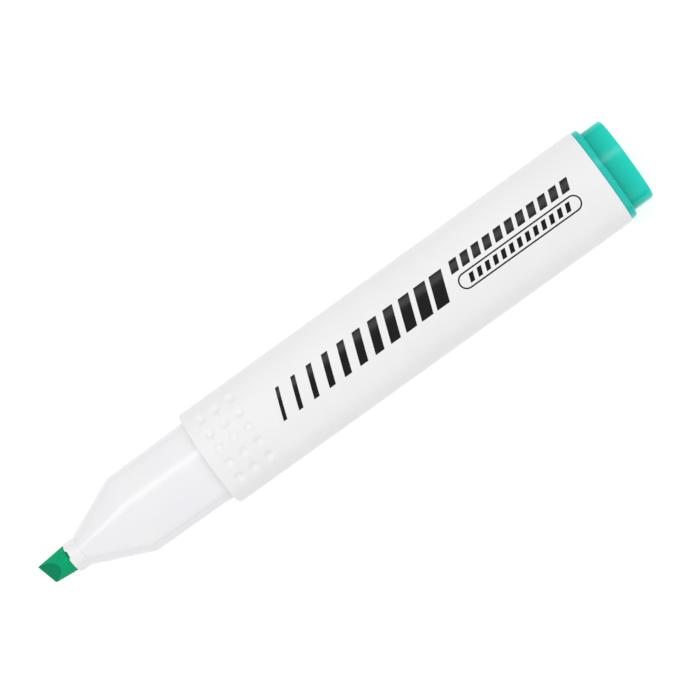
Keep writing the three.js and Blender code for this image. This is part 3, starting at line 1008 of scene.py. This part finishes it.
class HIGHLIGHTER_OT_barrel_ribs(bpy.types.Operator):
    """Build the ribs along the barrel's inside, which hold the reservoir in the middle"""

    bl_idname = "highlighter.barrel_ribs"
    bl_label = "Barrel ribs"

    def execute(self, context):
        sizes = context.scene.highlighter_barrel
        bore = barrel_section(sizes).inset(sizes.wall)
        reach = {
            "Start X": PLUG.high.x + sizes.rib_end,
            "End X": FRONT.low.x - sizes.rib_end,
            "Inner radius": WRAP.thickness / 2 + sizes.rib_clearance,
            "Face reach": bore.half_height + sizes.rib_fusion,
            "Side reach": bore.half_width + sizes.rib_fusion,
            "Thickness": sizes.rib_thickness,
            "Axis height": AXIS_Z,
        }
        ribs = mesh_object("barrel_ribs", [], [])
        material = bpy.data.materials["Satin white polypropylene"]
        run_tree(ribs, rib_tree(reach), reach, material)
        finish_piece(ribs, material, "barrel", "barrel_plastic")
        return {"FINISHED"}


class HIGHLIGHTER_OT_front_section(bpy.types.Operator):
    """Build the front section: sleeve, neck, taper and the round collar that holds the nib"""

    bl_idname = "highlighter.front_section"
    bl_label = "Front section"

    def execute(self, context):
        sizes = context.scene.highlighter_front
        snap = context.scene.highlighter_barrel
        sleeve = sleeve_section(context.scene)
        chamber = sleeve.inset(sizes.wall)
        neck_rear = sleeve.inset(sizes.seat_height)
        neck_front = neck_rear.inset(sizes.draft)
        collar = circle(sizes.collar_diameter / 2)
        bore = circle(sizes.collar_diameter / 2 - sizes.collar_wall)
        barrel_front, mouth, rear = BARREL.high.x, FRONT.high.x, FRONT.low.x
        seat_end = barrel_front + sizes.seat_length
        taper_start = barrel_front + sizes.neck
        collar_base = mouth - sizes.collar
        bore_end = mouth - sizes.bore
        corners = [
            Corner(rear, sleeve.inset(sizes.lead), 0.2 * MM),
            *snap_corners(
                barrel_front - snap.snap_back, sleeve, snap.snap_length, sizes.snap_height, 0.1 * MM
            ),
            Corner(seat_end, sleeve, SOFT),
            Corner(seat_end + sizes.seat_ramp, neck_rear, SOFT),
            Corner(taper_start, neck_front, 0.2 * MM),
            Corner(collar_base, circle(sizes.taper_end / 2), 0.12 * MM),
            Corner(collar_base, collar, CRISP),
            Corner(mouth, collar, 0.35 * MM),
            Corner(mouth, bore, 0.06 * MM),
            Corner(bore_end, bore, SOFT),
            Corner(bore_end - sizes.cone, chamber, 0.5 * MM),
            Corner(rear, chamber, 0.1 * MM),
        ]
        front = loft("front_section_shell", filleted(corners, closed=True), PLAIN, closed=True)
        cut_away(front, self.vents(sizes, mouth))
        smooth(front, sharp_degrees=40)
        material = front_plastic(context.scene.highlighter_finishes)
        finish_piece(front, material, "barrel", "front_plastic", "front_section")
        return {"FINISHED"}

    def vents(self, sizes, mouth):
        """Two wedge-shaped cutters, half a turn apart, across the collar's mouth."""
        verts, faces = [], []
        half = sizes.vent_width / 2
        flare = half + 2 * sizes.vent_flare
        inner = sizes.collar_diameter / 8
        outer = sizes.collar_diameter
        for side in (1, -1):
            first = len(verts)
            for radius in (inner, outer):
                for x, y in (
                    (mouth - sizes.vent_depth, -half),
                    (mouth + sizes.vent_depth, -flare),
                    (mouth + sizes.vent_depth, flare),
                    (mouth - sizes.vent_depth, half),
                ):
                    verts.append((x, y - side * sizes.vent_offset, AXIS_Z + side * radius))
            faces.append([first + k for k in (3, 2, 1, 0)])
            faces.append([first + k for k in (4, 5, 6, 7)])
            for k in range(4):
                after = (k + 1) % 4
                faces.append([first + k, first + after, first + 4 + after, first + 4 + k])
        return mesh_object("vent_cutters", verts, faces)


class HIGHLIGHTER_OT_nib(bpy.types.Operator):
    """Build the felt nib: a slanted chisel head, the stem and the tail that draws ink"""

    bl_idname = "highlighter.nib"
    bl_label = "Nib"

    def execute(self, context):
        sizes = context.scene.highlighter_nib
        front = context.scene.highlighter_front
        mouth, tip, rear = FRONT.high.x, NIB.high.x, NIB.low.x
        stem = circle(front.collar_diameter / 2 - front.collar_wall - sizes.stem_clearance)
        head_radius = sizes.head / 2
        tip_radius = head_radius - (tip - mouth) * math.tan(sizes.side_angle)
        tail = circle(sizes.tail / 2)
        bore_end = mouth - front.bore
        head_x = mouth + 0.05 * MM
        corners = [
            Corner(rear, circle(sizes.point_diameter / 2), 0.2 * MM),
            Corner(rear + sizes.point, tail),
            Corner(bore_end, tail),
            Corner(bore_end + sizes.shoulder, stem),
            Corner(head_x, stem),
            Corner(head_x, circle(head_radius, -sizes.offset)),
            Corner(tip, circle(tip_radius, -sizes.offset)),
        ]
        nib = loft("nib_felt", filleted(corners, closed=False), PLAIN, closed=False)
        corner = Vector((tip, -sizes.offset - tip_radius, AXIS_Z))
        self.cut(nib, corner, Vector((1, 0, 0)), sizes)
        for side in (1, -1):
            normal = Vector((math.sin(sizes.bevel), 0, side * math.cos(sizes.bevel)))
            self.cut(nib, corner + Vector((0, 0, side * sizes.edge / 2)), normal, sizes)
        remesh = nib.modifiers.new("felt", "REMESH")
        remesh.mode = "VOXEL"
        remesh.voxel_size = sizes.grain
        soften = nib.modifiers.new("wear", "SMOOTH")
        soften.factor = 0.5
        soften.iterations = 8
        settle(nib)
        nib.data.shade_smooth()
        finish_piece(nib, nib_felt(context.scene.highlighter_finishes), "nib", "nib_felt", "nib")
        return {"FINISHED"}

    def cut(self, nib, point, normal, sizes):
        """Cuts away what lies in front of a plane that is turned by the edge's slant, and caps it."""
        turned = Matrix.Rotation(sizes.slant, 3, "Z") @ normal
        work = bmesh.new()
        work.from_mesh(nib.data)
        everything = work.verts[:] + work.edges[:] + work.faces[:]
        cut = bmesh.ops.bisect_plane(
            work, geom=everything, dist=1e-8, plane_co=point, plane_no=turned, clear_outer=True
        )
        edges = [item for item in cut["geom_cut"] if isinstance(item, bmesh.types.BMEdge)]
        bmesh.ops.holes_fill(work, edges=edges, sides=0)
        work.to_mesh(nib.data)
        work.free()


class HIGHLIGHTER_OT_reservoir(bpy.types.Operator):
    """Build the ink reservoir: the fibre core and its film wrap"""

    bl_idname = "highlighter.reservoir"
    bl_label = "Reservoir"

    def execute(self, context):
        sizes = context.scene.highlighter_reservoir
        finishes = context.scene.highlighter_finishes
        core = circle(CORE.thickness / 2)
        nib_point = NIB.low.x + context.scene.highlighter_nib.point
        corners = [
            Corner(CORE.low.x, circle(POLE_RADIUS)),
            Corner(CORE.low.x, core, sizes.edge),
            Corner(CORE.high.x, core, sizes.edge),
            Corner(CORE.high.x, circle(sizes.pocket / 2), sizes.edge / 2),
            Corner(nib_point, circle(sizes.pocket / 2)),
            Corner(NIB.low.x - 0.05 * MM, circle(sizes.pocket_floor / 2)),
        ]
        fibre = loft("reservoir_fibre", filleted(corners, closed=False), PLAIN, closed=False)
        smooth(fibre)
        finish_piece(fibre, reservoir_fibre(finishes), "barrel", "reservoir_fibre", "reservoir_core")

        outer = circle(WRAP.thickness / 2)
        inner = outer.inset(sizes.wrap_wall)
        tube = [
            Corner(WRAP.low.x, outer, CRISP),
            Corner(WRAP.high.x, outer, CRISP),
            Corner(WRAP.high.x, inner, CRISP),
            Corner(WRAP.low.x, inner, CRISP),
        ]
        film = loft("reservoir_film", filleted(tube, closed=True), PLAIN, closed=True)
        smooth(film)
        finish_piece(film, reservoir_film(finishes), "barrel", "reservoir_film", "reservoir_wrap")
        return {"FINISHED"}


class HIGHLIGHTER_OT_end_plug(bpy.types.Operator):
    """Build the end plug: block, flange and hollow spigot, with the cross ribs inside"""

    bl_idname = "highlighter.end_plug"
    bl_label = "End plug"

    def execute(self, context):
        sizes = context.scene.highlighter_plug
        outer = barrel_section(context.scene.highlighter_barrel)
        block = outer.inset(sizes.block_inset)
        flange = outer.inset(sizes.flange_inset)
        spigot = sleeve_section(context.scene)
        hollow = spigot.inset(sizes.wall)
        end, tip = PLUG.low.x, PLUG.high.x
        flange_front = BARREL.low.x - sizes.face
        floor = end + sizes.floor
        corners = [
            Corner(end, circle(POLE_RADIUS)),
            Corner(end, block, sizes.block_edge),
            Corner(end + sizes.block, block, sizes.root),
            Corner(end + sizes.block, flange, sizes.flange_edge),
            Corner(flange_front, flange, CRISP),
            Corner(flange_front, spigot, CRISP),
            Corner(tip - sizes.lead, spigot, SOFT),
            Corner(tip, spigot.inset(sizes.wall / 3), SMALL),
            Corner(tip, hollow, SMALL),
            Corner(floor, hollow, SOFT),
            Corner(floor, circle(POLE_RADIUS)),
        ]
        plug = loft("end_plug_body", filleted(corners, closed=False), PLAIN, closed=False)
        smooth(plug)
        material = plug_plastic(context.scene.highlighter_finishes, sizes.block)
        finish_piece(plug, material, "end_plug", "plug_plastic", "end_plug")

        reach = {
            "Start X": floor - sizes.rib_fusion,
            "End X": tip,
            "Inner radius": 0.0,
            "Face reach": hollow.half_height + sizes.rib_fusion,
            "Side reach": hollow.half_width + sizes.rib_fusion,
            "Thickness": sizes.rib_thickness,
            "Axis height": AXIS_Z,
        }
        ribs = mesh_object("end_plug_ribs", [], [])
        run_tree(ribs, rib_tree(reach), reach, material)
        finish_piece(ribs, material, "end_plug", "plug_plastic")
        return {"FINISHED"}


class HIGHLIGHTER_OT_print(bpy.types.Operator):
    """Print a generic pattern on the upper face: slanted bars, dashes and a capsule"""

    bl_idname = "highlighter.print"
    bl_label = "Print"

    def execute(self, context):
        sizes = context.scene.highlighter_print
        section = bare_section(context.scene)
        material = print_ink(context.scene.highlighter_finishes)
        small_start = BARREL.high.x - sizes.small_start
        crown = {
            "Crown radius": section.crown_radius,
            "Crown centre": AXIS_Z + section.half_height - section.crown_radius,
            "Ink thickness": sizes.thickness,
            "Slant": math.tan(sizes.slant),
        }
        bars = {
            **crown,
            "Count": sizes.bars_count,
            "Start X": BARREL.high.x - sizes.start,
            "Pitch": sizes.bars_length / sizes.bars_count,
            "First width": sizes.bars_first,
            "Last width": sizes.bars_last,
            "Height": sizes.bars_height,
            "Middle Y": 0.0,
        }
        dashes = {
            **crown,
            "Count": sizes.dashes_count,
            "Start X": small_start,
            "Pitch": sizes.small_length / sizes.dashes_count,
            "First width": sizes.dash,
            "Last width": sizes.dash,
            "Height": sizes.dashes_height,
            "Middle Y": -sizes.dashes_side,
        }
        fine = {
            **dashes,
            "Count": sizes.fine_count,
            "Start X": small_start - sizes.fine_inset,
            "Pitch": (sizes.capsule_length - 2 * sizes.fine_inset) / sizes.fine_count,
            "First width": sizes.fine_dash,
            "Last width": sizes.fine_dash,
            "Height": sizes.fine_height,
            "Middle Y": sizes.capsule_side,
        }
        tree = bar_tree(bars)
        for name, values in (("print_bars", bars), ("print_dashes", dashes), ("print_fine", fine)):
            row = mesh_object(name, [], [])
            run_tree(row, tree, values, material)
            finish_piece(row, material, "barrel", "print_ink")
        ring = self.capsule(section, (small_start - sizes.capsule_length / 2, sizes.capsule_side), sizes)
        finish_piece(ring, material, "barrel", "print_ink")
        return {"FINISHED"}

    def capsule(self, section, middle, sizes):
        """A thin ring with straight sides and round ends, bent onto the crown."""
        long, high, line = sizes.capsule_length, sizes.capsule_height, sizes.capsule_line
        outer = self.stadium(long, high)
        inner = self.stadium(long - 2 * line, high - 2 * line)
        verts, faces = [], []
        count = len(outer)
        for lift in (-sizes.thickness / 2, sizes.thickness / 2):
            for points in (outer, inner):
                for x, y in points:
                    y += middle[1]
                    verts.append((middle[0] + x, y, AXIS_Z + section.crown_height(y) + lift))
        for k in range(count):
            after = (k + 1) % count
            for a, b in ((0, 1), (1, 3), (3, 2), (2, 0)):
                faces.append([a * count + k, a * count + after, b * count + after, b * count + k])
        return mesh_object("print_capsule", verts, faces)

    def stadium(self, long, high, steps=24):
        """The outline of a bar with round ends, as (x, y) points about its middle."""
        radius = high / 2
        half = long / 2 - radius
        points = []
        for centre, start in ((half, -math.pi / 2), (-half, math.pi / 2)):
            for k in range(steps + 1):
                turned = start + math.pi * k / steps
                points.append((centre + radius * math.cos(turned), radius * math.sin(turned)))
        return points


# ---------------------------------------------------------------- the stage


# The floor's half width, and the strip light's place and size, all in metres. The light stands over
# the pen, a little to its -Y side, and its long side runs along the pen.
FLOOR_HALF = 1.6
STRIP_DIRECTION = Vector((0.0, -0.342, 1.0))
STRIP_DISTANCE = 0.7
STRIP_SIZE = (1.3, 0.107)
WHITE = (1.0, 1.0, 1.0, 1.0)


class HIGHLIGHTER_OT_stage(bpy.types.Operator):
    """Set up the floor, the lights and the camera"""

    bl_idname = "highlighter.stage"
    bl_label = "Stage"

    def execute(self, context):
        sizes = context.scene.highlighter_stage
        context.scene.view_settings.view_transform = "Standard"
        self.floor(sizes)
        self.tent(context, sizes)
        aim = Vector((-sizes.aim_x, -sizes.aim_y, AXIS_Z))
        self.strip_light(context, aim, sizes.strip)
        self.camera(context, sizes, aim)
        return {"FINISHED"}

    def floor(self, sizes):
        """A white acrylic light table: plain, and lit from below too, so that shadows on it are faint."""
        half = FLOOR_HALF
        corners = [(-half, -half, 0.0), (half, -half, 0.0), (half, half, 0.0), (-half, half, 0.0)]
        floor = mesh_object("floor", corners, [(0, 1, 2, 3)])
        material = bpy.data.materials.new("White light table")
        material.use_nodes = True
        shader = material.node_tree.nodes["Principled BSDF"]
        shader.inputs["Base Color"].default_value = (0.6, 0.6, 0.6, 1.0)
        shader.inputs["Roughness"].default_value = 0.9
        shader.inputs["Specular IOR Level"].default_value = 0.0
        shader.inputs["Emission Color"].default_value = WHITE
        shader.inputs["Emission Strength"].default_value = sizes.floor
        floor.data.materials.append(material)

    def tent(self, context, sizes):
        """A white light tent: brightest halfway up its far wall, and dim where it meets the table."""
        world = bpy.data.worlds.new("Light tent")
        world.use_nodes = True
        tree = world.node_tree
        smoothly = {"interpolation_type": "SMOOTHSTEP"}
        direction = add(tree, "ShaderNodeTexCoord").outputs["Generated"]
        _, y, z = add(tree, "ShaderNodeSeparateXYZ", {0: direction}).outputs
        across = {"Value": y, "From Min": -0.7, "From Max": 0.7}
        near, far = sizes.near_side, sizes.far_side
        walls = add(tree, "ShaderNodeMapRange", {**across, "To Min": near, "To Max": far}, **smoothly)
        near, far = sizes.near_foot, sizes.far_foot
        feet = add(tree, "ShaderNodeMapRange", {**across, "To Min": near, "To Max": far}, **smoothly)
        rise = {"Value": z, "From Min": 0.1, "From Max": 0.6, "To Min": feet, "To Max": walls}
        lower = add(tree, "ShaderNodeMapRange", rise, **smoothly)
        top = {"Value": z, "From Min": 0.68, "From Max": 0.84, "To Min": lower, "To Max": sizes.overhead}
        brightness = add(tree, "ShaderNodeMapRange", top, **smoothly)
        tree.links.new(brightness.outputs[0], tree.nodes["Background"].inputs["Strength"])
        tree.nodes["Background"].inputs["Color"].default_value = WHITE
        context.scene.world = world

    def strip_light(self, context, aim, radiance):
        """A long narrow softbox whose surface has this radiance."""
        data = bpy.data.lights.new("strip", "AREA")
        data.shape = "RECTANGLE"
        data.size, data.size_y = STRIP_SIZE
        data.energy = radiance * math.pi * data.size * data.size_y
        light = bpy.data.objects.new("strip", data)
        away = STRIP_DIRECTION.normalized()
        across = away.cross(Vector((1, 0, 0))).normalized()
        along = across.cross(away)
        turn = Matrix((along, across, away)).transposed()
        light.matrix_world = Matrix.Translation(aim + away * STRIP_DISTANCE) @ turn.to_4x4()
        context.scene.collection.objects.link(light)

    def camera(self, context, sizes, aim):
        """A long lens above the pen, a little to its tail end and to its +Y side."""
        data = bpy.data.cameras.new("camera")
        data.lens = sizes.lens
        data.sensor_width = 36.0
        data.clip_start = 0.01
        camera = bpy.data.objects.new("camera", data)
        place = aim + Vector((-sizes.back, sizes.aside, sizes.height))
        away = (place - aim).normalized()
        view_up = Vector((-math.sin(sizes.turn), -math.cos(sizes.turn), 0.0))
        right = view_up.cross(away).normalized()
        up = away.cross(right)
        turn = Matrix((right, up, away)).transposed()
        camera.matrix_world = Matrix.Translation(place) @ turn.to_4x4()
        context.scene.collection.objects.link(camera)
        context.scene.camera = camera


# ---------------------------------------------------------------- panel and registration

PIECES = (
    HIGHLIGHTER_OT_barrel,
    HIGHLIGHTER_OT_barrel_ribs,
    HIGHLIGHTER_OT_front_section,
    HIGHLIGHTER_OT_nib,
    HIGHLIGHTER_OT_reservoir,
    HIGHLIGHTER_OT_end_plug,
    HIGHLIGHTER_OT_print,
    HIGHLIGHTER_OT_stage,
)

SETTINGS = {
    "highlighter_barrel": BarrelSizes,
    "highlighter_front": FrontSizes,
    "highlighter_nib": NibSizes,
    "highlighter_reservoir": ReservoirSizes,
    "highlighter_plug": PlugSizes,
    "highlighter_print": PrintSizes,
    "highlighter_finishes": Finishes,
    "highlighter_stage": StageSizes,
}


class VIEW3D_PT_highlighter(bpy.types.Panel):
    """Lists the highlighter's pieces and their sizes"""

    bl_label = "Highlighter"
    bl_space_type = "VIEW_3D"
    bl_region_type = "UI"
    bl_category = "Highlighter"

    def draw(self, context):
        for piece in PIECES:
            self.layout.operator(piece.bl_idname)
        for name, group in SETTINGS.items():
            box = self.layout.box()
            box.label(text=group.__doc__)
            for key in group.__annotations__:
                box.prop(getattr(context.scene, name), key)


def register():
    for group in SETTINGS.values():
        bpy.utils.register_class(group)
    for name, group in SETTINGS.items():
        setattr(bpy.types.Scene, name, bpy.props.PointerProperty(type=group))
    for piece in PIECES:
        bpy.utils.register_class(piece)
    bpy.utils.register_class(VIEW3D_PT_highlighter)


def unregister():
    bpy.utils.unregister_class(VIEW3D_PT_highlighter)
    for piece in reversed(PIECES):
        bpy.utils.unregister_class(piece)
    for name in SETTINGS:
        delattr(bpy.types.Scene, name)
    for group in reversed(SETTINGS.values()):
        bpy.utils.unregister_class(group)


def main():
    register()
    for piece in PIECES:
        family, name = piece.bl_idname.split(".")
        getattr(getattr(bpy.ops, family), name)()


if __name__ == "__main__":
    main()
